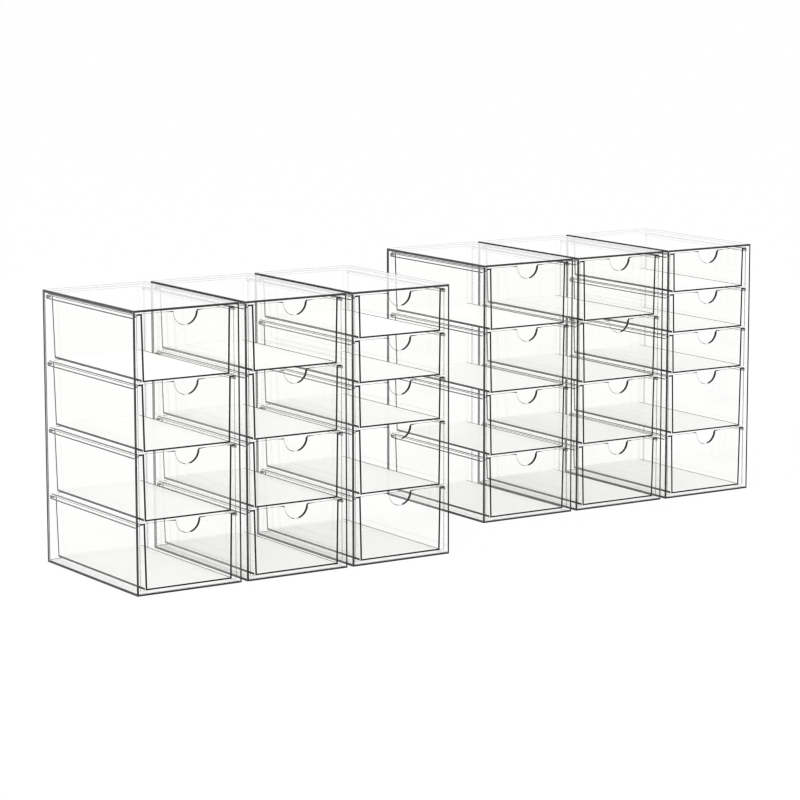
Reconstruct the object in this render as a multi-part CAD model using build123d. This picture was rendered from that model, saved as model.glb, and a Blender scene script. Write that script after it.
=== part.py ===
from build123d import *
import math
import os

# Clear stacking storage drawers: two banks of three free-standing towers.
# Each tower is five bonded acrylic sheets. Its drawers are moulded trays that hang
# by side flanges on runner ribs along the inner faces of the side sheets.
# Millimetres. +X is right, +Y is back, +Z is up, and the drawers open along -Y.
# The origin is at the bottom centre of the box round both banks.

# Tower, outside
TOWER_WIDTH = 167.0
TOWER_DEPTH = 275.0
TOWER_HEIGHT = 400.0

# Sheets of a tower
TOP_THICKNESS = 3.0
BASE_THICKNESS = 3.0
SIDE_THICKNESS = 2.5
BACK_THICKNESS = 2.5

# Runner ribs on the side sheets
RIB_HEIGHT = 3.0
RIB_REACH = 7.0
RIB_FRONT_INSET = 8.0
RIB_BACK_INSET = 8.0

# Rows of drawers, as shares of the height that they fill, from the bottom up
EVEN_ROW_SHARES = (3, 3, 3, 3)
MIXED_ROW_SHARES = (3, 3, 2, 2, 2)
BANK_ROW_SHARES = (EVEN_ROW_SHARES, EVEN_ROW_SHARES, MIXED_ROW_SHARES)

# Drawer trays
DRAWER_WALL = 2.0
DRAWER_FLOOR = 2.0
DRAWER_DRAFT_DEGREES = 1.25
FLANGE_REACH = 6.0
FLANGE_THICKNESS = 2.4
NOTCH_RADIUS = 18.5
NOTCH_SHOULDER_RADIUS = 1.5

# Clearances
BASE_CLEARANCE = 3.5
ROW_CLEARANCE = 2.5
RUNNER_CLEARANCE = 0.3
FLANGE_SIDE_CLEARANCE = 4.0
FRONT_SETBACK = 3.5
BACK_CLEARANCE = 1.0
CUT_OVERRUN = 1.0

# Places of the towers and banks
TOWER_GAP = 9.5
BANK_GAP = 168.0
BANK_SETBACK = 155.0
BANK_COUNT = 2

# Sizes that follow from the ones above
STACK_HEIGHT = TOWER_HEIGHT - TOP_THICKNESS - BASE_THICKNESS - BASE_CLEARANCE
PANEL_HEIGHT = TOWER_HEIGHT - TOP_THICKNESS
INNER_WIDTH = TOWER_WIDTH - 2 * SIDE_THICKNESS
FLANGE_TIP = INNER_WIDTH / 2 - FLANGE_SIDE_CLEARANCE
RIM_HALF_WIDTH = FLANGE_TIP - FLANGE_REACH
RIM_BACK = TOWER_DEPTH - BACK_THICKNESS - BACK_CLEARANCE
DRAFT_SLOPE = math.tan(math.radians(DRAWER_DRAFT_DEGREES))
TOWER_STEP = TOWER_WIDTH + TOWER_GAP
TOWERS_IN_BANK = len(BANK_ROW_SHARES)
BANK_WIDTH = TOWERS_IN_BANK * TOWER_WIDTH + (TOWERS_IN_BANK - 1) * TOWER_GAP
BANK_STEP = BANK_WIDTH + BANK_GAP
WHOLE_WIDTH = BANK_COUNT * BANK_WIDTH + (BANK_COUNT - 1) * BANK_GAP
WHOLE_DEPTH = TOWER_DEPTH + (BANK_COUNT - 1) * BANK_SETBACK


def sheet(low, high):
    """A flat sheet from its lowest to its highest corner."""
    size = [b - a for a, b in zip(low, high)]
    middle = [(a + b) / 2 for a, b in zip(low, high)]
    return Pos(*middle) * Box(*size)


def drawer_rows(shares):
    """(bottom, top) of each drawer of a tower, from the lowest up."""
    rows = []
    bottom = BASE_THICKNESS + BASE_CLEARANCE
    for share in shares:
        row_height = STACK_HEIGHT * share / sum(shares)
        rows.append((bottom, bottom + row_height - ROW_CLEARANCE))
        bottom += row_height
    return rows


# A tower stands with the middle of its front edge at the origin of its own frame.


def top_panel():
    """The sheet that caps the sides and the back."""
    half = TOWER_WIDTH / 2
    return sheet((-half, 0, PANEL_HEIGHT), (half, TOWER_DEPTH, TOWER_HEIGHT))


def base_panel():
    """The sheet between the feet of the sides."""
    half = INNER_WIDTH / 2
    return sheet((-half, 0, 0), (half, TOWER_DEPTH, BASE_THICKNESS))


def back_panel():
    """The sheet that closes the back and stops the drawers."""
    half = INNER_WIDTH / 2
    front = TOWER_DEPTH - BACK_THICKNESS
    return sheet((-half, front, BASE_THICKNESS), (half, TOWER_DEPTH, PANEL_HEIGHT))


def runner_rib(side, rim):
    """A round-ended rib under a drawer's flange, rooted in the side sheet."""
    length = TOWER_DEPTH - RIB_FRONT_INSET - RIB_BACK_INSET
    middle_y = RIB_FRONT_INSET + length / 2
    top = rim - FLANGE_THICKNESS - RUNNER_CLEARANCE
    outline = Plane.YZ * Pos(middle_y, top - RIB_HEIGHT / 2) * SlotOverall(length, RIB_HEIGHT)
    rib = extrude(outline, amount=SIDE_THICKNESS + RIB_REACH)
    start = side * TOWER_WIDTH / 2
    return Pos(start, 0, 0) * (rib if side < 0 else mirror(rib, Plane.YZ))


def side_panel(side, rows):
    """A side sheet with its runner ribs. side is -1 on the left and 1 on the right."""
    outer = side * TOWER_WIDTH / 2
    inner = side * INNER_WIDTH / 2
    panel = sheet((min(outer, inner), 0, 0), (max(outer, inner), TOWER_DEPTH, PANEL_HEIGHT))
    ribs = [runner_rib(side, rim) for _, rim in rows]
    return panel + ribs


def tray_section(level, rim, inset):
    """The tray's outline at one level, moved in from its outer faces by inset."""
    lean = (rim - level) * DRAFT_SLOPE
    half = RIM_HALF_WIDTH - lean - inset
    front = FRONT_SETBACK + inset
    back = RIM_BACK - lean - inset
    place = Plane.XY.offset(level) * Pos(0, (front + back) / 2)
    return place * Rectangle(2 * half, back - front)


def notch_cutter(rim):
    """The half-moon finger notch with rounded shoulders, through the front wall."""
    half = NOTCH_RADIUS + NOTCH_SHOULDER_RADIUS
    mouth_height = NOTCH_SHOULDER_RADIUS + CUT_OVERRUN
    mouth = Pos(0, mouth_height / 2 - NOTCH_SHOULDER_RADIUS) * Rectangle(2 * half, mouth_height)
    for side in (-1, 1):
        mouth -= Pos(side * half, -NOTCH_SHOULDER_RADIUS) * Circle(NOTCH_SHOULDER_RADIUS)
    outline = mouth + Pos(0, -NOTCH_SHOULDER_RADIUS) * Circle(NOTCH_RADIUS)
    inside = FRONT_SETBACK + DRAWER_WALL + CUT_OVERRUN
    start = Plane.XZ.offset(-inside) * Pos(0, rim)
    return extrude(start * outline, amount=DRAWER_WALL + 2 * CUT_OVERRUN)


def drawer(bottom, rim):
    """A tray with leaning sides and back, flanges, an upright full-width front and a finger notch."""
    floor = bottom + DRAWER_FLOOR
    body = loft([tray_section(bottom, rim, 0), tray_section(rim, rim, 0)], ruled=True)
    above = rim + CUT_OVERRUN
    hollow = [tray_section(floor, rim, DRAWER_WALL), tray_section(above, rim, DRAWER_WALL)]
    tray = body - loft(hollow, ruled=True)
    seat = rim - FLANGE_THICKNESS
    root = RIM_HALF_WIDTH - DRAWER_WALL / 2
    for side in (-1, 1):
        ends = sorted((side * root, side * FLANGE_TIP))
        tray += sheet((ends[0], FRONT_SETBACK, seat), (ends[1], RIM_BACK, rim))
    inside = FRONT_SETBACK + DRAWER_WALL
    tray += sheet((-FLANGE_TIP, FRONT_SETBACK, bottom), (FLANGE_TIP, inside, rim))
    return tray - notch_cutter(rim)


def tower_pieces(shares):
    """Every piece of one tower by name, in the tower's own frame."""
    rows = drawer_rows(shares)
    pieces = {
        "top_panel": top_panel(),
        "base_panel": base_panel(),
        "back_panel": back_panel(),
        "left_side_panel": side_panel(-1, rows),
        "right_side_panel": side_panel(1, rows),
    }
    for number, (bottom, rim) in enumerate(reversed(rows), start=1):
        pieces[f"drawer_{number}"] = drawer(bottom, rim)
    return pieces


def tower_place(bank, column):
    """Where the middle of a tower's front edge stands."""
    left = bank * BANK_STEP + column * TOWER_STEP - WHOLE_WIDTH / 2
    front = bank * BANK_SETBACK - WHOLE_DEPTH / 2
    return Pos(left + TOWER_WIDTH / 2, front, 0)


os.makedirs("parts", exist_ok=True)
for column, shares in enumerate(BANK_ROW_SHARES):
    pieces = tower_pieces(shares)
    for bank in range(BANK_COUNT):
        tower = bank * TOWERS_IN_BANK + column + 1
        for name, piece in pieces.items():
            placed = tower_place(bank, column) * piece
            export_step(placed, os.path.join("parts", f"tower_{tower}_{name}.step"))
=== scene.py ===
"""Clear stacking drawer towers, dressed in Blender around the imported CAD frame.

Each CAD node is replaced by a mesh of the same size that adds what the CAD leaves out: broken edges, root
fillets, a lip behind each finger notch and the acrylic finishes. The acrylic lets light straight through,
and the dark lines that bent light gives real sheets are painted on the meshes as narrow zones.
Metres, +X right, +Y back, +Z up.
"""

import logging
import math
from collections.abc import Callable, Iterable
from dataclasses import dataclass
from enum import Enum, IntEnum

import bmesh
import bpy
from mathutils import Matrix, Vector

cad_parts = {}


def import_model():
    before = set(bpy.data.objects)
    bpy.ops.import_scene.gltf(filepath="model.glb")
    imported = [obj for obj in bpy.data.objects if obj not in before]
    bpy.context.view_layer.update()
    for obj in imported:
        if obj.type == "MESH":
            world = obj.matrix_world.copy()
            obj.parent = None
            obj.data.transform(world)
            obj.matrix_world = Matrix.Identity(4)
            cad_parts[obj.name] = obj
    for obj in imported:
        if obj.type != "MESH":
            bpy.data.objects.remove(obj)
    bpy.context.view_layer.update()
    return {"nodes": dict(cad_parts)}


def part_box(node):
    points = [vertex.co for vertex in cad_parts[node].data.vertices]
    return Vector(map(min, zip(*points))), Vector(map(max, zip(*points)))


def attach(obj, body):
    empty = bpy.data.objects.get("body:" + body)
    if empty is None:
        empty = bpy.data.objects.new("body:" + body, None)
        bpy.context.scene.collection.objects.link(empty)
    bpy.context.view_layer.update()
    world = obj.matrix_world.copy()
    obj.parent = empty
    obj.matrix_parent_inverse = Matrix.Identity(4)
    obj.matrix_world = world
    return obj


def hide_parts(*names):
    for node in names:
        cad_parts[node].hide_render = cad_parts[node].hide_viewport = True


LOG = logging.getLogger("drawer_towers")
HOUSING_BODY = "housings"

# A millimetre, and the distance under which two places count as one
MM = 0.001
NEAR = 0.01 * MM

# The least turn between two faces that makes a corner edge
LEAST_CORNER = math.radians(12.0)

# How far a normal points along an axis where a face is square to it, faces it or leans to it
SQUARE, FACING, LEANING = 0.99, 0.9, 0.5

FORWARD, BACKWARD = Vector((0.0, -1.0, 0.0)), Vector((0.0, 1.0, 0.0))
DOWNWARD, UPWARD = Vector((0.0, 0.0, -1.0)), Vector((0.0, 0.0, 1.0))

Piece = bpy.types.Object
Materials = list[bpy.types.Material]
Triple = tuple[float, float, float]
FaceTest = Callable[[Vector, Vector], bool]
EdgeTest = Callable[[Vector, Vector], bool]


class Zone(IntEnum):
    """The material slots of every piece, in order.

    Faces are clear, or satin on floors. Cut edges, arrises and ends, where a wall or a rib meets another,
    carry painted shade for light bent in the acrylic: edges and arrises are darkest from outside, and ends
    are darkest through the piece.
    """

    CLEAR = 0
    EDGE = 1
    ARRIS = 2
    END = 3
    SATIN = 4


class Slot(Enum):
    """The record's material slots."""

    HOUSING = "housing_acrylic"
    DRAWER = "drawer_acrylic"


class Side(IntEnum):
    """The two sides of a tower, as signs along X."""

    LEFT = -1
    RIGHT = 1


class Flat(Enum):
    """The flat sheets of a tower, by the end of their node's name."""

    TOP = "top_panel"
    BASE = "base_panel"
    BACK = "back_panel"


class Sheen(Enum):
    """How a clear face shines at a slant, by its shader."""

    MIRROR = "BsdfAnisotropic"
    SATIN = "BsdfPrincipled"


class NodeTable:
    """Adds and joins the nodes of one node tree."""

    def __init__(self, tree: bpy.types.NodeTree) -> None:
        """Starts on an empty tree.

        Args:
            tree: The node tree to fill.
        """
        self.tree = tree
        self.tree.nodes.clear()

    def add(self, kind: str, inputs: dict[str | int, object] | None = None,
            **settings: object) -> bpy.types.Node:
        """Adds a node and sets or links its inputs.

        Args:
            kind: The node's type without the ShaderNode prefix, or a full name.
            inputs: Values or output sockets by input name or number.
            settings: Properties of the node itself.

        Returns:
            The new node.
        """
        full = kind if kind.startswith("Node") else f"ShaderNode{kind}"
        node = self.tree.nodes.new(full)
        for name, value in settings.items():
            setattr(node, name, value)
        for key, value in (inputs or {}).items():
            if isinstance(value, bpy.types.NodeSocket):
                self.tree.links.new(value, node.inputs[key])
            else:
                node.inputs[key].default_value = value
        return node

    def maths(self, operation: str, first: object, second: object = 0.0) -> bpy.types.NodeSocket:
        """Joins two numbers or sockets with a Math node.

        Args:
            operation: The Math node's operation.
            first: A number or an output socket.
            second: A number or an output socket.

        Returns:
            The node's output.
        """
        return self.add("Math", {0: first, 1: second}, operation=operation).outputs[0]


def rgba(colour: Triple) -> tuple[float, float, float, float]:
    """Returns a colour with full alpha."""
    return (*colour, 1.0)


WHITE = rgba((1.0, 1.0, 1.0))


def open_group(name: str, inputs: dict[str, float], output: str) -> NodeTable:
    """Starts a shader node group that takes and gives plain numbers.

    Args:
        name: The group's name.
        inputs: The inputs with their first values.
        output: The one output.

    Returns:
        The group's table.
    """
    tree = bpy.data.node_groups.new(name, "ShaderNodeTree")
    for socket, value in inputs.items():
        given = tree.interface.new_socket(socket, in_out="INPUT", socket_type="NodeSocketFloat")
        given.default_value = value
    tree.interface.new_socket(output, in_out="OUTPUT", socket_type="NodeSocketFloat")
    return NodeTable(tree)


def new_material(name: str) -> bpy.types.Material:
    """Makes an empty node material.

    Args:
        name: The material's name.

    Returns:
        The material.
    """
    material = bpy.data.materials.new(name)
    material.use_nodes = True
    return material


@dataclass(frozen=True)
class StreakEffect:
    """Uneven tone in the painted shade along a cut edge, as a shader node group."""

    name: str = "edge_streaks"
    band_scale: float = 10.0
    grain_scale: float = 300.0
    grain_share: float = 0.3
    detail: float = 3.0
    noise_low: float = 0.3
    noise_high: float = 0.7

    def build(self) -> bpy.types.NodeTree:
        """Builds the group.

        Returns:
            A group with Band Scale, Grain Scale and Grain Share in, and Streak from 0 to 1 out.
        """
        table = open_group(self.name, {"Band Scale": self.band_scale, "Grain Scale": self.grain_scale,
                                       "Grain Share": self.grain_share}, "Streak")
        given = table.add("NodeGroupInput").outputs
        place = table.add("TexCoord").outputs["Object"]
        bands, grain = (table.add("TexNoise", {"Vector": place, "Scale": given[scale], "Detail": self.detail})
                        for scale in ("Band Scale", "Grain Scale"))
        mixed = table.add("Mix", {"Factor": given["Grain Share"], "A": bands.outputs[0],
                                  "B": grain.outputs[0]})
        spread = table.add("MapRange", {"Value": mixed.outputs[0], "From Min": self.noise_low,
                                        "From Max": self.noise_high})
        table.add("NodeGroupOutput", {"Streak": spread.outputs[0]})
        return table.tree


@dataclass(frozen=True)
class HazeEffect:
    """Faint wipe marks on a clear face, as a shader node group."""

    name: str = "wipe_marks"
    scale: float = 14.0
    least: float = 0.1
    most: float = 0.2
    detail: float = 4.0
    distortion: float = 1.5
    noise_low: float = 0.3
    noise_high: float = 0.7

    def build(self) -> bpy.types.NodeTree:
        """Builds the group.

        Returns:
            A group with Scale, Least and Most in, and a Roughness that wanders between them out.
        """
        table = open_group(self.name, {"Scale": self.scale, "Least": self.least, "Most": self.most},
                           "Roughness")
        given = table.add("NodeGroupInput").outputs
        place = table.add("TexCoord").outputs["Object"]
        marks = table.add("TexNoise", {"Vector": place, "Scale": given["Scale"], "Detail": self.detail,
                                       "Distortion": self.distortion})
        spread = table.add("MapRange", {"Value": marks.outputs[0], "From Min": self.noise_low,
                                        "From Max": self.noise_high, "To Min": given["Least"],
                                        "To Max": given["Most"]})
        table.add("NodeGroupOutput", {"Roughness": spread.outputs[0]})
        return table.tree


@dataclass(frozen=True)
class ClearFinish:
    """A clear face: it shows what is behind it and shines at a slant, as seen from outside."""

    name: str
    passed: Triple
    shine_gain: float
    mark_scale: float
    least_roughness: float
    most_roughness: float
    shine_ior: float = 1.49
    shine_start: float = 0.03
    sheen: Sheen = Sheen.MIRROR
    shine: Triple = (1.0, 1.0, 1.0)

    def build(self, haze: bpy.types.NodeTree) -> bpy.types.Material:
        """Builds the material.

        Args:
            haze: The group that HazeEffect builds.

        Returns:
            The clear material.
        """
        material = new_material(self.name)
        table = NodeTable(material.node_tree)
        marks = table.add("Group", {"Scale": self.mark_scale, "Least": self.least_roughness,
                                    "Most": self.most_roughness}, node_tree=haze)
        behind = table.add("NewGeometry").outputs["Backfacing"]
        slant = table.add("Fresnel", {"IOR": self.shine_ior}).outputs[0]
        outside = table.maths("SUBTRACT", 1.0, behind)
        beyond = table.maths("MAXIMUM", table.maths("SUBTRACT", slant, self.shine_start), 0.0)
        share = table.maths("MINIMUM", table.maths("MULTIPLY", beyond, self.shine_gain), 1.0)
        factor = table.maths("MULTIPLY", share, outside)
        clear = table.add("BsdfTransparent", {"Color": rgba(self.passed)})
        sheen = table.add(self.sheen.value, {0: rgba(self.shine), "Roughness": marks.outputs["Roughness"]})
        mixed = table.add("MixShader", {0: factor, 1: clear.outputs[0], 2: sheen.outputs[0]})
        table.add("OutputMaterial", {"Surface": mixed.outputs[0]})
        return material


@dataclass(frozen=True)
class PaintedEdgeShade:
    """Painted shade on an edge, for light bent in the acrylic, with one opacity from outside and one when
    seen through the piece.
    """

    name: str
    deep: Triple
    pale: Triple
    outside_opacity: float
    inside_opacity: float
    band_scale: float
    grain_share: float
    roughness: float = 0.3
    specular: float = 0.35

    def build(self, streaks: bpy.types.NodeTree) -> bpy.types.Material:
        """Builds the material.

        Args:
            streaks: The group that StreakEffect builds.

        Returns:
            The edge material.
        """
        material = new_material(self.name)
        table = NodeTable(material.node_tree)
        streak = table.add("Group", {"Band Scale": self.band_scale, "Grain Share": self.grain_share},
                           node_tree=streaks)
        # Inputs 6 and 7 are a Mix node's two colours, and output 2 is the mixed one
        colour = table.add("Mix", {"Factor": streak.outputs["Streak"], 6: rgba(self.deep),
                                   7: rgba(self.pale)}, data_type="RGBA")
        # The dark base colour is painted shade for light bent in the acrylic; only the gloss on it is real
        edge = table.add("BsdfPrincipled", {"Base Color": colour.outputs[2], "Roughness": self.roughness,
                                            "Specular IOR Level": self.specular})
        behind = table.add("NewGeometry").outputs["Backfacing"]
        opacity = table.add("Mix", {"Factor": behind, "A": self.outside_opacity, "B": self.inside_opacity})
        clear = table.add("BsdfTransparent", {"Color": WHITE})
        mixed = table.add("MixShader", {0: opacity.outputs[0], 1: clear.outputs[0], 2: edge.outputs[0]})
        table.add("OutputMaterial", {"Surface": mixed.outputs[0]})
        return material


@dataclass(frozen=True)
class Acrylic:
    """The clear and satin finishes of one kind of acrylic piece, and its three painted edge shades."""

    clear: ClearFinish
    edge: PaintedEdgeShade
    arris: PaintedEdgeShade
    end: PaintedEdgeShade
    satin: ClearFinish

    def build(self, haze: bpy.types.NodeTree, streaks: bpy.types.NodeTree) -> Materials:
        """Builds the five materials.

        Args:
            haze: The group of wipe marks.
            streaks: The group of edge streaks.

        Returns:
            The materials in the order of Zone.
        """
        edges = [finish.build(streaks) for finish in (self.edge, self.arris, self.end)]
        return [self.clear.build(haze), *edges, self.satin.build(haze)]


# The edge, arris and end materials below are painted shade for light bent in the acrylic
HOUSING_ACRYLIC = Acrylic(
    clear=ClearFinish("housing_clear", passed=(0.9990, 0.9995, 0.9980), shine_gain=1.5, mark_scale=14.0,
                      least_roughness=0.02, most_roughness=0.06),
    edge=PaintedEdgeShade("housing_edge_shade", deep=(0.010, 0.010, 0.011), pale=(0.030, 0.031, 0.032),
                    outside_opacity=1.0, inside_opacity=0.06, band_scale=9.0, grain_share=0.3),
    arris=PaintedEdgeShade("housing_arris_shade", deep=(0.020, 0.020, 0.021), pale=(0.060, 0.060, 0.062),
                     outside_opacity=0.9, inside_opacity=0.45, band_scale=14.0, grain_share=0.5),
    end=PaintedEdgeShade("housing_root_shade", deep=(0.030, 0.030, 0.030), pale=(0.090, 0.090, 0.088),
                   outside_opacity=0.7, inside_opacity=0.95, band_scale=14.0, grain_share=0.4),
    satin=ClearFinish("housing_satin", passed=(0.9990, 0.9995, 0.9980), shine_gain=2.6, mark_scale=30.0,
                      least_roughness=0.35, most_roughness=0.5, sheen=Sheen.SATIN,
                      shine=(0.98, 0.985, 0.97)),
)
DRAWER_ACRYLIC = Acrylic(
    clear=ClearFinish("drawer_clear", passed=(0.9990, 0.9995, 0.9975), shine_gain=1.5, mark_scale=22.0,
                      least_roughness=0.03, most_roughness=0.07),
    edge=PaintedEdgeShade("drawer_edge_shade", deep=(0.008, 0.008, 0.009), pale=(0.024, 0.025, 0.026),
                    outside_opacity=1.0, inside_opacity=0.06, band_scale=16.0, grain_share=0.3,
                    roughness=0.35, specular=0.3),
    arris=PaintedEdgeShade("drawer_arris_shade", deep=(0.020, 0.020, 0.021), pale=(0.060, 0.060, 0.062),
                     outside_opacity=0.9, inside_opacity=0.25, band_scale=18.0, grain_share=0.5),
    end=PaintedEdgeShade("drawer_end_shade", deep=(0.060, 0.062, 0.062), pale=(0.160, 0.164, 0.162),
                   outside_opacity=0.2, inside_opacity=0.85, band_scale=18.0, grain_share=0.4),
    satin=ClearFinish("drawer_satin", passed=(0.9990, 0.9995, 0.9975), shine_gain=2.6, mark_scale=30.0,
                      least_roughness=0.35, most_roughness=0.5, sheen=Sheen.SATIN,
                      shine=(0.98, 0.985, 0.97)),
)


def pick_only(piece: Piece) -> None:
    """Makes a piece the active one and the only one selected.

    Args:
        piece: The piece to work on.
    """
    bpy.ops.object.select_all(action="DESELECT")
    piece.select_set(True)
    bpy.context.view_layer.objects.active = piece


class Shaper:
    """Shapes one mesh in edit mode with Blender's own operators, inside a with block."""

    def __init__(self, piece: Piece) -> None:
        """Takes the piece to shape.

        Args:
            piece: A mesh object.
        """
        self.piece = piece

    def __enter__(self) -> "Shaper":
        """Turns edit mode on for the piece alone.

        Returns:
            This shaper.
        """
        pick_only(self.piece)
        bpy.ops.object.mode_set(mode="EDIT")
        return self

    def __exit__(self, *_: object) -> None:
        """Turns edit mode off."""
        bpy.ops.object.mode_set(mode="OBJECT")

    def pick(self, kind: str, test: Callable[[object], bool]) -> "Shaper":
        """Selects the edges or faces that pass a test, and nothing else.

        Args:
            kind: Either edges or faces.
            test: Says yes or no to one of them.

        Returns:
            This shaper, for the next step.
        """
        bpy.context.tool_settings.mesh_select_mode = (False, kind == "edges", kind == "faces")
        bpy.ops.mesh.select_all(action="DESELECT")
        mesh = bmesh.from_edit_mesh(self.piece.data)
        for item in getattr(mesh, kind):
            if test(item):
                item.select_set(True)
        mesh.select_flush_mode()
        bmesh.update_edit_mesh(self.piece.data)
        return self

    def pick_faces(self, test: FaceTest) -> "Shaper":
        """Selects the faces whose middle and normal pass a test."""
        return self.pick("faces", lambda face: test(face.calc_center_median(), face.normal))

    def pick_edges(self, test: EdgeTest) -> "Shaper":
        """Selects the corner edges whose two ends pass a test."""
        return self.pick("edges", lambda edge: edge.calc_face_angle(0.0) > LEAST_CORNER
                         and test(edge.verts[0].co, edge.verts[1].co))

    def paint(self, zone: Zone) -> None:
        """Gives the selected faces a zone's material."""
        self.piece.active_material_index = zone
        bpy.ops.object.material_slot_assign()

    def bevel(self, width: float, segments: int, zone: Zone) -> None:
        """Rounds the selected edges.

        Args:
            width: How far the rounding reaches from the edge.
            segments: Faces across the rounding.
            zone: The material slot of the new faces.
        """
        bpy.ops.mesh.bevel(offset=width, segments=segments, affect="EDGES", material=zone)

    def taper(self, scale: Triple, about: Triple) -> None:
        """Scales what is selected about a point.

        Args:
            scale: Factors along X, Y and Z.
            about: The point that stays.
        """
        bpy.ops.transform.resize(value=scale, center_override=about)

    def extrude(self, move: Triple) -> None:
        """Extrudes the selected faces by a move and leaves the new ones selected."""
        bpy.ops.mesh.extrude_region_move(TRANSFORM_OT_translate={"value": move})

    def cut(self, point: Vector, normal: Vector) -> None:
        """Cuts the selected faces along a plane and keeps both sides.

        Args:
            point: A point in the plane.
            normal: The plane's normal.
        """
        bpy.ops.mesh.bisect(plane_co=point, plane_no=normal, threshold=NEAR / 10)

    def border(self, test: FaceTest, point: Vector, outward: Vector, zone: Zone) -> None:
        """Splits a border strip off some faces and paints it.

        Args:
            test: Picks the faces.
            point: A point on the strip's inner line.
            outward: The direction from that line to the border, in the faces' plane.
            zone: The strip's material slot.
        """
        self.pick_faces(test).cut(point, outward)
        self.pick_faces(lambda middle, normal: test(middle, normal) and (middle - point).dot(outward) > 0)
        self.paint(zone)


def start_block(name: str, low: Vector, high: Vector, materials: Materials) -> Piece:
    """Adds a block as the start of a piece, with its place in its mesh.

    Args:
        name: The piece's name.
        low: The lowest corner.
        high: The highest corner.
        materials: The materials in the order of Zone.

    Returns:
        The block.
    """
    bpy.ops.object.select_all(action="DESELECT")
    bpy.ops.mesh.primitive_cube_add(size=1.0, location=(low + high) / 2, scale=high - low)
    return settle(name, materials)


def settle(name: str, materials: Materials) -> Piece:
    """Names the primitive just added, applies its place to its mesh and gives it its materials.

    Args:
        name: The piece's name.
        materials: The materials in the order of Zone.

    Returns:
        The piece.
    """
    piece = bpy.context.active_object
    piece.name = piece.data.name = name
    bpy.ops.object.transform_apply(location=True, rotation=True, scale=True)
    for material in materials:
        piece.data.materials.append(material)
    return piece


def join_solids(piece: Piece, tool: Piece, operation: str) -> None:
    """Adds a solid to a piece or takes it away, and removes the solid.

    Args:
        piece: The piece that stays.
        tool: The solid that is used up.
        operation: UNION or DIFFERENCE.
    """
    pick_only(piece)
    modifier = piece.modifiers.new("join", "BOOLEAN")
    modifier.operation = operation
    modifier.solver = "EXACT"
    modifier.object = tool
    bpy.ops.object.modifier_apply(modifier=modifier.name)
    spent = tool.data
    bpy.data.objects.remove(tool)
    bpy.data.meshes.remove(spent)


def copy_piece(master: Piece, name: str, move: Vector) -> Piece:
    """Copies a finished piece, with a mesh of its own, to another place.

    Args:
        master: The piece to copy.
        name: The copy's name.
        move: How far the copy lies from it.

    Returns:
        The copy, at the origin, with its place in its mesh.
    """
    piece = master.copy()
    piece.data = master.data.copy()
    piece.name = piece.data.name = name
    piece.data.transform(Matrix.Translation(move))
    bpy.context.scene.collection.objects.link(piece)
    return piece


@dataclass
class FlatSheet:
    """A flat sheet with painted shade on its cut edges. Its materials are in the order of Zone."""

    materials: Materials
    arris: float = 0.5 * MM
    arris_segments: int = 2
    seam: float = 0.1 * MM
    # Width of the painted shade strips on upper faces
    shown_edge: float = 2.5 * MM

    def model(self, name: str, low: Vector, high: Vector) -> Piece:
        """Models one sheet.

        Args:
            name: The piece's name.
            low: The lowest corner.
            high: The highest corner.

        Returns:
            The sheet.
        """
        sheet = start_block(name, low, high, self.materials)
        thin = min(range(3), key=lambda axis: high[axis] - low[axis])
        with Shaper(sheet) as shaper:
            # Cut edge faces and the arrises are painted shade
            shaper.pick_faces(lambda middle, normal: abs(normal[thin]) < LEANING).paint(Zone.EDGE)
            shaper.pick_edges(lambda a, b: True).bevel(self.arris, self.arris_segments, Zone.ARRIS)
        return sheet

    def flat(self, kind: Flat, node: str, name: str) -> Piece:
        """Models a top, base or back sheet, a seam's width clear of the sheets that it is bonded to.

        Args:
            kind: Which sheet it is.
            node: The CAD node that it stands for.
            name: The piece's name.

        Returns:
            The sheet.
        """
        low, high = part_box(node)
        gap = Vector((self.seam, 0.0, self.seam if kind is Flat.BACK else 0.0))
        if kind is not Flat.TOP:
            low, high = low + gap, high - gap
        sheet = self.model(name, low, high)
        if kind is Flat.TOP:
            self.show_edges(sheet, low, high)
        elif kind is Flat.BASE:
            self.make_satin(sheet, low)
        return sheet

    @staticmethod
    def upper_face(middle: Vector, normal: Vector) -> bool:
        """Says if a face is the flat top of a sheet."""
        return normal.z > SQUARE

    def make_satin(self, sheet: Piece, low: Vector) -> None:
        """Makes a base sheet's upper face satin, with a line of painted shade along its front.

        Args:
            sheet: The base sheet.
            low: The lowest corner.
        """
        with Shaper(sheet) as shaper:
            shaper.pick_faces(lambda middle, normal: normal.z > FACING).paint(Zone.SATIN)
            shaper.border(self.upper_face, BACKWARD * (low.y + self.shown_edge), FORWARD, Zone.EDGE)

    def show_edges(self, sheet: Piece, low: Vector, high: Vector) -> None:
        """Paints shade on the rim of a top sheet's upper face, where its cut edges show through.

        Args:
            sheet: The top sheet.
            low: The lowest corner.
            high: The highest corner.
        """
        left, right = Vector((-1.0, 0.0, 0.0)), Vector((1.0, 0.0, 0.0))
        with Shaper(sheet) as shaper:
            for corner, outward in ((low, left), (high, right), (low, FORWARD), (high, BACKWARD)):
                shaper.border(self.upper_face, corner - outward * self.shown_edge, outward, Zone.ARRIS)


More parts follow.
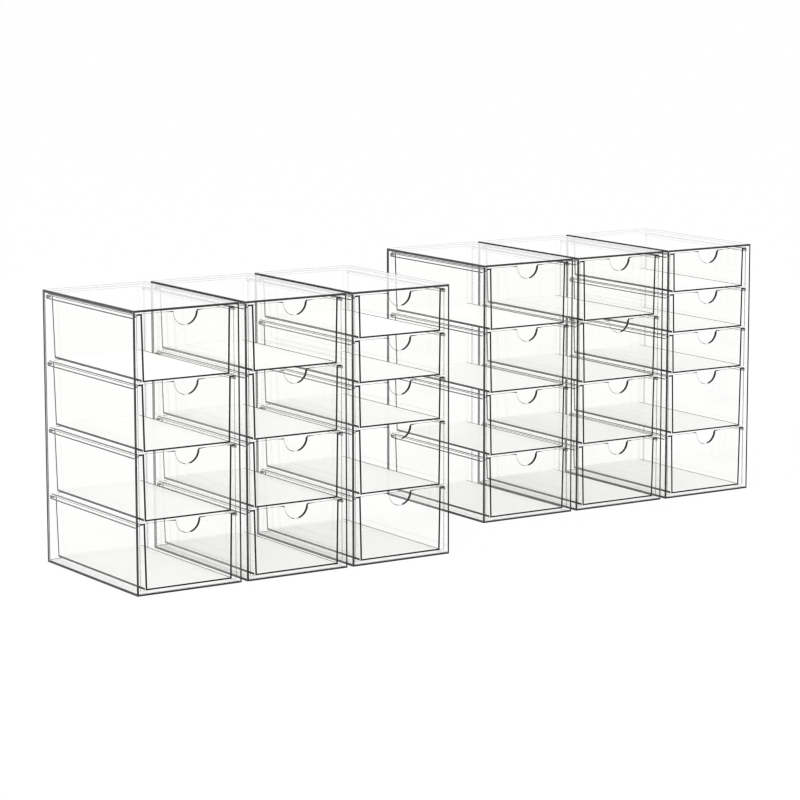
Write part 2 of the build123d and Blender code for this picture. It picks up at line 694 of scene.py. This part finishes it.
@dataclass
class RibbedSide(FlatSheet):
    """A side sheet with round-ended runner ribs on its inner face."""

    thickness: float = 2.5 * MM
    rib_height: float = 3.0 * MM
    rib_end_inset: float = 8.0 * MM
    rib_end_segments: int = 8
    rib_arris: float = 0.3 * MM
    rib_root: float = 1.0 * MM
    root_fillet: float = 1.5 * MM
    # Widths of the painted shade strips on the outer face, at the front, base and back
    front_end: float = 2.2 * MM
    base_end: float = 3.0 * MM
    back_end: float = 4.5 * MM

    def side(self, side: Side, node: str, name: str, rib_tops: list[float]) -> Piece:
        """Models one side sheet with its ribs.

        Args:
            side: Which side of the tower it is.
            node: The CAD node that it stands for.
            name: The piece's name.
            rib_tops: The heights of the ribs' upper faces.

        Returns:
            The side sheet.
        """
        low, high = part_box(node)
        if side is Side.LEFT:
            inner = low.x + self.thickness
            rib_start, rib_stop = inner - self.rib_root, high.x
            high.x = inner
        else:
            inner = high.x - self.thickness
            rib_start, rib_stop = low.x, inner + self.rib_root
            low.x = inner
        high.z -= self.seam
        sheet = self.model(name, low, high)
        self.show_section(sheet, side, low, high)
        for top in rib_tops:
            rib = self.rib(Vector((rib_start, low.y + self.rib_end_inset, top - self.rib_height)),
                           Vector((rib_stop, high.y - self.rib_end_inset, top)))
            join_solids(sheet, rib, "UNION")
        self.fill_roots(sheet, inner, rib_tops)
        return sheet

    def fill_roots(self, sheet: Piece, inner: float, rib_tops: list[float]) -> None:
        """Fillets the ribs where they leave the sheet, with painted shade on the fillets.

        Args:
            sheet: The side sheet.
            inner: The place of the sheet's inner face.
            rib_tops: The heights of the ribs' upper faces.
        """
        def root(a: Vector, b: Vector) -> bool:
            """Says if an edge lies round the foot of a rib."""
            at_face = max(abs(a.x - inner), abs(b.x - inner)) < NEAR
            height = (a.z + b.z) / 2
            return at_face and any(top - self.rib_height - NEAR < height < top + NEAR for top in rib_tops)

        with Shaper(sheet) as shaper:
            shaper.pick_edges(root).bevel(self.root_fillet, 1, Zone.END)

    def show_section(self, sheet: Piece, side: Side, low: Vector, high: Vector) -> None:
        """Paints shade on the outer face along its front and where the base and back sheets are seen end-on.

        Args:
            sheet: The side sheet.
            side: Which side of the tower it is.
            low: The sheet's lowest corner.
            high: The sheet's highest corner.
        """
        def outer_face(middle: Vector, normal: Vector) -> bool:
            """Says if a face is on the outside."""
            return normal.x * side > FACING

        strips = ((BACKWARD * (low.y + self.front_end), FORWARD),
                  (UPWARD * (low.z + self.base_end), DOWNWARD),
                  (BACKWARD * (high.y - self.back_end), BACKWARD))
        with Shaper(sheet) as shaper:
            for point, outward in strips:
                shaper.border(outer_face, point, outward, Zone.EDGE)

    def rib(self, low: Vector, high: Vector) -> Piece:
        """Models one round-ended rib, with painted shade on its round ends.

        Args:
            low: The lowest corner.
            high: The highest corner.

        Returns:
            The rib.
        """
        rib = start_block("runner_rib", low, high, self.materials)
        with Shaper(rib) as shaper:
            shaper.pick_edges(lambda a, b: abs(a.x - b.x) > NEAR)
            shaper.bevel(self.rib_height / 2 - NEAR, self.rib_end_segments, Zone.END)
            shaper.pick_edges(lambda a, b: abs(a.x - b.x) < NEAR).bevel(self.rib_arris, 1, Zone.CLEAR)
        return rib


@dataclass
class Drawer:
    """A moulded tray: leaning sides and back, a full-width upright front, side flanges and a finger notch.

    Its materials are in the order of Zone.
    """

    materials: Materials

    # The tray and its notch, as in the CAD
    wall: float = 2.0 * MM
    floor: float = 2.0 * MM
    draft_degrees: float = 1.25
    flange_reach: float = 6.0 * MM
    flange_thickness: float = 2.4 * MM
    notch_radius: float = 18.5 * MM
    shoulder_radius: float = 1.5 * MM

    # Roundings of the notch, painted shade; parts of the rounding on the front face get paler painted shade,
    # by place and by normal
    notch_segments: int = 96
    shoulder_segments: int = 8
    notch_arris: float = 1.4 * MM
    notch_arris_segments: int = 4
    pale_share: float = 0.22
    pale_rise: float = 0.2
    pale_facing: tuple[float, float] = (0.9, 0.995)

    # The lip behind the notch
    lip_width: float = 1.6 * MM
    lip_depth: float = 2.0 * MM
    lip_overlap: float = 0.5 * MM
    lip_drop: float = 0.8 * MM

    # The other broken edges
    corner_radius: float = 0.6 * MM
    corner_segments: int = 2
    front_arris: float = 0.35 * MM
    rim_arris: float = 0.6 * MM
    floor_fillet: float = 0.6 * MM

    # Widths of the painted shade strips where walls and floor are seen end-on through the faces
    side_floor_end: float = 3.4 * MM
    side_back_end: float = 4.0 * MM
    end_spread: float = 0.8 * MM

    # How far a cutter stands out of what it cuts
    overrun: float = 1.0 * MM

    def model(self, node: str, name: str) -> Piece:
        """Models one drawer.

        Args:
            node: The CAD node that it stands for.
            name: The piece's name.

        Returns:
            The drawer.
        """
        low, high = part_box(node)
        reach = Vector((self.flange_reach, 0.0, 0.0))
        tray_low, tray_high = low + reach, high - reach
        tray = start_block(name, tray_low, tray_high, self.materials)
        with Shaper(tray) as shaper:
            self.hollow(shaper, tray_low, tray_high)
            for side in Side:
                self.draw_out(shaper, side, low, high)
        join_solids(tray, self.notch_lip(low, high), "UNION")
        join_solids(tray, self.notch_cutter(low, high), "DIFFERENCE")
        with Shaper(tray) as shaper:
            self.round_notch(shaper, low, high)
            self.break_edges(shaper, low, high)
            shaper.pick_faces(lambda middle, normal: normal.z > FACING
                              and abs(middle.z - low.z - self.floor) < NEAR)
            shaper.paint(Zone.SATIN)
            self.show_flange_tips(shaper, low, high)
            self.show_ends(shaper, tray_low, tray_high)
            for side in Side:
                self.show_side_section(shaper, side, tray_low, tray_high)
        return tray

    @property
    def slope(self) -> float:
        """How far a leaning wall comes in for each metre down."""
        return math.tan(math.radians(self.draft_degrees))

    def hollow(self, shaper: Shaper, low: Vector, high: Vector) -> None:
        """Leans the sides and back of the block and sinks its inside.

        Args:
            shaper: The tray's shaper.
            low: The tray's lowest corner, without flanges.
            high: The tray's highest corner, without flanges.
        """
        half, depth = (high.x - low.x) / 2, high.y - low.y
        middle = (low.x + high.x) / 2
        lean = (high.z - low.z) * self.slope
        shaper.pick_faces(lambda _, normal: normal.z < -LEANING)
        shaper.taper(((half - lean) / half, (depth - lean) / depth, 1.0), (middle, low.y, low.z))
        shaper.pick_faces(lambda _, normal: normal.z > LEANING)
        bpy.ops.mesh.inset(thickness=self.wall)
        down = high.z - low.z - self.floor
        shaper.extrude((0.0, 0.0, -down))
        half, depth, lean = half - self.wall, depth - 2 * self.wall, down * self.slope
        shaper.taper(((half - lean) / half, (depth - lean) / depth, 1.0), (middle, low.y + self.wall, high.z))

    def draw_out(self, shaper: Shaper, side: Side, low: Vector, high: Vector) -> None:
        """Draws the front's wing and the rim's flange out of one side, as one L-shaped step.

        Args:
            shaper: The tray's shaper.
            side: The side that they are on.
            low: The drawer's lowest corner.
            high: The drawer's highest corner.
        """
        seat, behind = high.z - self.flange_thickness, low.y + self.wall
        tip = high.x if side is Side.RIGHT else low.x
        rim = tip - side * self.flange_reach
        inner = rim - side * (self.wall / 2 + (high.z - low.z) * self.slope)

        def outer_face(middle: Vector, normal: Vector) -> bool:
            """Says if a face is on the outside of this side."""
            return normal.x * side > FACING and (middle.x - inner) * side > 0

        shaper.pick_faces(outer_face).cut(Vector((rim, 0.0, seat)), UPWARD)
        shaper.pick_faces(outer_face).cut(Vector((rim, behind, 0.0)), BACKWARD)
        shaper.pick_faces(lambda middle, normal: outer_face(middle, normal)
                          and (middle.z > seat or middle.y < behind))
        shaper.extrude((side * self.flange_reach, 0.0, 0.0))
        shaper.taper((0.0, 1.0, 1.0), (tip, low.y, high.z))
        # The wing's end and the flange's front and back ends are painted shade
        shaper.pick_faces(lambda middle, normal: normal.x * side > FACING and abs(middle.x - tip) < NEAR
                          and middle.y < behind).paint(Zone.END)
        shaper.pick_faces(lambda middle, normal: abs(normal.y) > FACING and (middle.x - rim) * side > 0
                          and middle.z > seat).paint(Zone.EDGE)

    def notch_disc(self, name: str, centre: Vector, radius: float, deep: float) -> Piece:
        """Adds an upright disc that lies across the front wall.

        Args:
            name: The disc's name.
            centre: The disc's middle.
            radius: The disc's radius.
            deep: The disc's size from front to back.

        Returns:
            The disc.
        """
        bpy.ops.object.select_all(action="DESELECT")
        bpy.ops.mesh.primitive_cylinder_add(vertices=self.notch_segments, radius=radius, depth=deep,
                                            location=centre, rotation=(math.pi / 2, 0.0, 0.0))
        return settle(name, self.materials)

    def notch_lip(self, low: Vector, high: Vector) -> Piece:
        """Models the pad behind the front wall that the notch leaves as a lip.

        Args:
            low: The drawer's lowest corner.
            high: The drawer's highest corner.

        Returns:
            The pad.
        """
        radius, deep = self.notch_radius + self.lip_width, self.lip_overlap + self.lip_depth
        middle = Vector(((low.x + high.x) / 2, low.y + self.wall + self.lip_depth - deep / 2,
                         high.z - self.shoulder_radius))
        pad = self.notch_disc("notch_lip", middle, radius, deep)
        reach = Vector((2 * radius, deep, self.lip_drop))
        above = start_block("lip_cutter", middle - reach, middle + reach + UPWARD * (2 * radius),
                            self.materials)
        join_solids(pad, above, "DIFFERENCE")
        return pad

    def notch_cutter(self, low: Vector, high: Vector) -> Piece:
        """Models the solid that cuts the half-moon notch out of the front wall.

        Args:
            low: The drawer's lowest corner.
            high: The drawer's highest corner.

        Returns:
            The cutter.
        """
        deep = self.wall + self.lip_depth
        centre = Vector(((low.x + high.x) / 2, low.y + deep / 2, high.z - self.shoulder_radius))
        cutter = self.notch_disc("notch_cutter", centre, self.notch_radius, deep + 2 * self.overrun)
        with Shaper(cutter) as shaper:
            shaper.pick_faces(lambda middle, normal: abs(normal.y) < LEANING and middle.z > centre.z + NEAR)
            shaper.taper((1.0, 1.0, 0.0), (centre.x, centre.y, high.z + self.overrun))
            # The notch's cut faces take this painted edge shade through the cut
            shaper.pick_faces(lambda middle, normal: True).paint(Zone.EDGE)
        return cutter

    def round_notch(self, shaper: Shaper, low: Vector, high: Vector) -> None:
        """Rounds the notch's shoulders and its edge on the front face, all painted shade, paler below and
        outermost.

        Args:
            shaper: The tray's shaper.
            low: The drawer's lowest corner.
            high: The drawer's highest corner.
        """
        middle = (low.x + high.x) / 2
        reach = self.notch_radius + self.shoulder_radius + NEAR
        lowest = high.z - self.shoulder_radius - self.notch_radius
        least, most = self.pale_facing

        def shoulder(a: Vector, b: Vector) -> bool:
            """Says if an edge runs through the wall at the notch's mouth."""
            at_rim = min(a.z, b.z) > high.z - NEAR
            return at_rim and abs(a.y - b.y) > self.wall / 2 and abs(a.x - middle) < reach

        def front_line(a: Vector, b: Vector) -> bool:
            """Says if an edge lies on the notch's outline on the front face."""
            at_front = max(a.y, b.y) < low.y + NEAR
            near = max(abs(a.x - middle), abs(b.x - middle)) < reach
            return at_front and near and (a.z + b.z) / 2 < high.z - NEAR

        shaper.pick_edges(shoulder).bevel(self.shoulder_radius, self.shoulder_segments, Zone.EDGE)
        shaper.pick_edges(front_line).bevel(self.notch_arris, self.notch_arris_segments, Zone.EDGE)
        shaper.pick_faces(lambda spot, normal: abs(spot.x - middle) < self.notch_radius * self.pale_share
                          and abs(spot.z - lowest) < 2 * self.notch_arris and normal.z > self.pale_rise)
        shaper.paint(Zone.END)
        shaper.pick_faces(lambda spot, normal: abs(spot.x - middle) < reach
                          and spot.z > lowest - self.notch_arris and least < -normal.y < most)
        shaper.paint(Zone.END)

    def break_edges(self, shaper: Shaper, low: Vector, high: Vector) -> None:
        """Breaks the tray's other edges with painted shade: dark along its outer corners, thin lines along
        its rim and front.

        Args:
            shaper: The tray's shaper.
            low: The drawer's lowest corner.
            high: The drawer's highest corner.
        """
        behind, seat = low.y + self.wall, high.z - self.flange_thickness
        long = (high.y - low.y) / 2
        level = low.z + self.floor

        def outer_corner(a: Vector, b: Vector) -> bool:
            """Says if an edge is under the tray or at an upright back corner."""
            low_end = min(a.z, b.z) < low.z + NEAR
            return low_end and (a.y + b.y) / 2 > behind + NEAR and max(a.z, b.z) < seat + NEAR

        def front_outline(a: Vector, b: Vector) -> bool:
            """Says if an edge lies on the front's outer outline."""
            return max(a.y, b.y) < low.y + NEAR

        def rim_line(a: Vector, b: Vector) -> bool:
            """Says if an edge lies along the top of the rim or its flanges."""
            return min(a.z, b.z) > high.z - NEAR and min(a.y, b.y) > behind - NEAR

        def flange_foot(a: Vector, b: Vector) -> bool:
            """Says if an edge runs along the underside of a flange, at its tip."""
            at_seat = abs(a.z - seat) < NEAR and abs(b.z - seat) < NEAR and abs(a.x - b.x) < NEAR
            return at_seat and abs(a.y - b.y) > long

        def floor_side(a: Vector, b: Vector) -> bool:
            """Says if an edge lies along the left or right of the floor, on the inside."""
            return max(abs(a.z - level), abs(b.z - level)) < NEAR and abs(a.y - b.y) > long

        shaper.pick_edges(outer_corner).bevel(self.corner_radius, self.corner_segments, Zone.EDGE)
        shaper.pick_edges(floor_side).bevel(self.floor_fillet, 1, Zone.ARRIS)
        shaper.pick_edges(rim_line).bevel(self.rim_arris, 1, Zone.ARRIS)
        shaper.pick_edges(flange_foot).bevel(self.front_arris, 1, Zone.CLEAR)
        shaper.pick_edges(front_outline).bevel(self.front_arris, 1, Zone.ARRIS)

    def show_flange_tips(self, shaper: Shaper, low: Vector, high: Vector) -> None:
        """Paints shade on the flanges' long outer edges, in two tones so that it shows alike from either
        side.

        Args:
            shaper: The tray's shaper.
            low: The drawer's lowest corner.
            high: The drawer's highest corner.
        """
        behind, seat = low.y + self.wall, high.z - self.flange_thickness
        level = (high.z - self.rim_arris + seat + self.front_arris) / 2

        def tip(middle: Vector, normal: Vector) -> bool:
            """Says if a face is the outer edge of a flange."""
            at_end = min(abs(middle.x - low.x), abs(middle.x - high.x)) < NEAR
            return at_end and abs(normal.x) > SQUARE and middle.y > behind and middle.z > seat

        shaper.pick_faces(tip).paint(Zone.END)
        shaper.border(tip, UPWARD * level, UPWARD, Zone.ARRIS)

    def show_ends(self, shaper: Shaper, low: Vector, high: Vector) -> None:
        """Paints shade on the front and the back where the side walls and the floor are seen end-on.

        Args:
            shaper: The tray's shaper.
            low: The tray's lowest corner, without flanges.
            high: The tray's highest corner, without flanges.
        """
        turn = math.radians(self.draft_degrees)
        level = low.z + self.floor + self.end_spread / 2
        inside = high.y - self.wall - (high.z - low.z) * self.slope

        def front(middle: Vector, normal: Vector) -> bool:
            """Says if a face is on the front between the side walls."""
            return normal.y < -FACING and middle.y < low.y + NEAR and low.x < middle.x < high.x

        def back(middle: Vector, normal: Vector) -> bool:
            """Says if a face is on the outside of the back."""
            return normal.y > FACING and middle.y > inside and low.x < middle.x < high.x

        for face in (front, back):
            shaper.border(face, UPWARD * level, DOWNWARD, Zone.EDGE)
            for side in Side:
                edge = (high.x if side is Side.RIGHT else low.x) - side * (self.wall + self.end_spread)
                outward = Vector((side * math.cos(turn), 0.0, -math.sin(turn)))
                shaper.border(face, Vector((edge, 0.0, high.z)), outward, Zone.EDGE)

    def show_side_section(self, shaper: Shaper, side: Side, low: Vector, high: Vector) -> None:
        """Paints shade on one side where the floor and the back wall behind it are seen end-on.

        Args:
            shaper: The tray's shaper.
            side: The side of the tray.
            low: The tray's lowest corner, without flanges.
            high: The tray's highest corner, without flanges.
        """
        turn = math.radians(self.draft_degrees)
        seat = high.z - self.flange_thickness
        edge = high.x if side is Side.RIGHT else low.x
        inner = edge - side * (self.wall / 2 + (high.z - low.z) * self.slope)

        def outer_face(middle: Vector, normal: Vector) -> bool:
            """Says if a face is on the outside of this side, behind the front and under the flange."""
            outside = 0 < (middle.x - inner) * side < (edge - inner) * side + NEAR
            return normal.x * side > FACING and outside and middle.z < seat

        shaper.border(outer_face, UPWARD * (low.z + self.side_floor_end), DOWNWARD, Zone.EDGE)
        shaper.border(outer_face, Vector((0.0, high.y - self.side_back_end, high.z)),
                      Vector((0.0, math.cos(turn), -math.sin(turn))), Zone.EDGE)


@dataclass
class DrawerTowers:
    """All the towers: it makes one piece for each CAD node and models like pieces only once."""

    sheet: FlatSheet
    side: RibbedSide
    drawer: Drawer
    smooth_angle: float = math.radians(14.0)
    runner_clearance: float = 0.3 * MM

    def build(self, nodes: Iterable[str]) -> list[Piece]:
        """Builds every piece.

        Args:
            nodes: The names of all CAD nodes.

        Returns:
            The pieces.
        """
        names = sorted(nodes)
        masters: dict[tuple[str, int, float], tuple[Piece, Vector]] = {}
        pieces = []
        for node in names:
            low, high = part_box(node)
            tower, kind = node.split("_", 2)[1:]
            rims = [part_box(other)[1].z for other in names if other.startswith(f"tower_{tower}_drawer_")]
            is_drawer = kind.startswith("drawer")
            ribs = len(rims) if "side" in kind else 0
            key = ("drawer" if is_drawer else kind, ribs, round((high.z - low.z) / MM, 1))
            name = f"{node}_tray" if is_drawer else node.replace("panel", "sheet")
            if key in masters:
                master, start = masters[key]
                piece = copy_piece(master, name, low - start)
            else:
                piece = self.model(node, kind, name, rims)
                self.smooth(piece)
                masters[key] = (piece, low)
            self.seat(piece, node, is_drawer)
            pieces.append(piece)
        return pieces

    def model(self, node: str, kind: str, name: str, rims: list[float]) -> Piece:
        """Models the first piece of a kind.

        Args:
            node: The CAD node that it stands for.
            kind: The node's name without its tower.
            name: The piece's name.
            rims: The heights of the drawers' rims in its tower.

        Returns:
            The piece.
        """
        if kind.startswith("drawer"):
            return self.drawer.model(node, name)
        if "side" in kind:
            side = Side.LEFT if kind.startswith("left") else Side.RIGHT
            drop = self.drawer.flange_thickness + self.runner_clearance
            return self.side.side(side, node, name, [rim - drop for rim in rims])
        return self.sheet.flat(Flat(kind), node, name)

    def smooth(self, piece: Piece) -> None:
        """Smooths the rounded parts of a piece and keeps its sharp edges."""
        pick_only(piece)
        bpy.ops.object.shade_smooth_by_angle(angle=self.smooth_angle)

    def seat(self, piece: Piece, node: str, is_drawer: bool) -> None:
        """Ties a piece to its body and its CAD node.

        Args:
            piece: The piece.
            node: The CAD node that it stands for.
            is_drawer: Whether it moves by itself.
        """
        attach(piece, node if is_drawer else HOUSING_BODY)
        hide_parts(node)
        LOG.info("%s: %d faces", piece.name, len(piece.data.polygons))


@dataclass(frozen=True)
class PhotoCamera:
    """The camera at the photograph's angle."""

    place: Triple = (-2.6428, -4.0246, 0.9866)
    yaw_degrees: float = 32.987
    pitch_degrees: float = 9.369
    roll_degrees: float = -0.087
    focal_pixels: float = 3181.1
    image_pixels: int = 800
    sensor: float = 36.0
    farthest: float = 100.0

    def build(self) -> bpy.types.Object:
        """Adds the camera and makes it the scene's own.

        Returns:
            The camera.
        """
        yaw, pitch, roll = (math.radians(turn) for turn in (self.yaw_degrees, self.pitch_degrees,
                                                            self.roll_degrees))
        ahead = Vector((math.sin(yaw) * math.cos(pitch), math.cos(yaw) * math.cos(pitch), -math.sin(pitch)))
        level = Vector((math.cos(yaw), -math.sin(yaw), 0.0))
        right = level * math.cos(roll) + level.cross(ahead) * math.sin(roll)
        turned = Matrix((right, right.cross(ahead), -ahead)).transposed()
        bpy.ops.object.camera_add(location=self.place, rotation=turned.to_euler())
        camera = bpy.context.active_object
        camera.data.sensor_width = self.sensor
        camera.data.lens = self.sensor * self.focal_pixels / self.image_pixels
        camera.data.clip_end = self.farthest
        bpy.context.scene.camera = camera
        return camera


@dataclass(frozen=True)
class Studio:
    """A pale floor and a soft white room."""

    floor_side: float = 60.0
    floor_drop: float = 0.4 * MM
    floor_colour: Triple = (0.96, 0.96, 0.96)
    shadow_share: float = 0.07
    room_low: float = 0.95
    room_high: float = 1.0
    room_rise: float = 0.6
    lamp_power: float = 40.0
    lamp_side: float = 3.0
    lamp_place: Triple = (-1.5, -2.0, 3.2)
    clear_layers: int = 160
    mirror_layers: int = 16
    pixel_filter: float = 1.3

    def build(self) -> None:
        """Adds the floor, the room and the lamp, and lets rays pass all the clear layers."""
        self.build_floor()
        self.build_room()
        self.build_lamp()
        scene = bpy.context.scene
        scene.view_settings.view_transform = "Standard"
        scene.cycles.transparent_max_bounces = self.clear_layers
        scene.cycles.glossy_bounces = scene.cycles.max_bounces = self.mirror_layers
        scene.cycles.filter_width = self.pixel_filter

    @staticmethod
    def seen(table: NodeTable) -> bpy.types.NodeSocket:
        """Marks the rays that see plain white: from the camera, off gloss and through clear stuff.

        Args:
            table: The table of the floor's or the room's nodes.

        Returns:
            A socket that is 1 for those rays and 0 for others.
        """
        path = table.add("LightPath").outputs
        direct = table.maths("MAXIMUM", path["Is Camera Ray"], path["Is Glossy Ray"])
        return table.maths("MAXIMUM", direct, path["Is Transmission Ray"])

    def build_floor(self) -> None:
        """Adds the floor, white to the eye and with a faint shadow."""
        bpy.ops.object.select_all(action="DESELECT")
        bpy.ops.mesh.primitive_plane_add(size=self.floor_side, location=(0.0, 0.0, -self.floor_drop))
        material = new_material("pale_floor")
        table = NodeTable(material.node_tree)
        matt = table.add("BsdfDiffuse", {"Color": rgba(self.floor_colour)})
        white = table.add("Emission", {"Color": WHITE, "Strength": 1.0})
        shown = table.maths("MULTIPLY", self.seen(table), 1.0 - self.shadow_share)
        mixed = table.add("MixShader", {0: shown, 1: matt.outputs[0], 2: white.outputs[0]})
        table.add("OutputMaterial", {"Surface": mixed.outputs[0]})
        settle("floor", [material])

    def build_room(self) -> None:
        """Makes the room white to the eye, with a little less light from near the horizon."""
        world = bpy.data.worlds.new("soft_room")
        world.use_nodes = True
        bpy.context.scene.world = world
        table = NodeTable(world.node_tree)
        height = table.add("SeparateXYZ", {0: table.add("TexCoord").outputs["Generated"]}).outputs["Z"]
        rise = table.add("MapRange", {"Value": height, "From Min": 0.0, "From Max": self.room_rise,
                                      "To Min": self.room_low, "To Max": self.room_high})
        room = table.add("Background", {"Color": rise.outputs[0], "Strength": 1.0})
        white = table.add("Background", {"Color": WHITE, "Strength": 1.0})
        mixed = table.add("MixShader", {0: self.seen(table), 1: room.outputs[0], 2: white.outputs[0]})
        table.add("OutputWorld", {"Surface": mixed.outputs[0]})

    def build_lamp(self) -> None:
        """Adds a wide soft lamp above and in front."""
        bpy.ops.object.light_add(type="AREA", location=self.lamp_place)
        lamp = bpy.context.active_object
        lamp.data.energy = self.lamp_power
        lamp.data.size = self.lamp_side
        lamp.rotation_euler = (-Vector(self.lamp_place)).to_track_quat("-Z", "Y").to_euler()


def main() -> None:
    """Builds the towers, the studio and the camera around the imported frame."""
    logging.basicConfig(level=logging.INFO, format="%(message)s")
    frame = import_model()
    haze, streaks = HazeEffect().build(), StreakEffect().build()
    housing, trays = (acrylic.build(haze, streaks) for acrylic in (HOUSING_ACRYLIC, DRAWER_ACRYLIC))
    towers = DrawerTowers(FlatSheet(housing), RibbedSide(housing), Drawer(trays))
    pieces = towers.build(frame["nodes"])
    LOG.info("%d pieces", len(pieces))
    Studio().build()
    PhotoCamera().build()


if __name__ == "__main__":
    main()
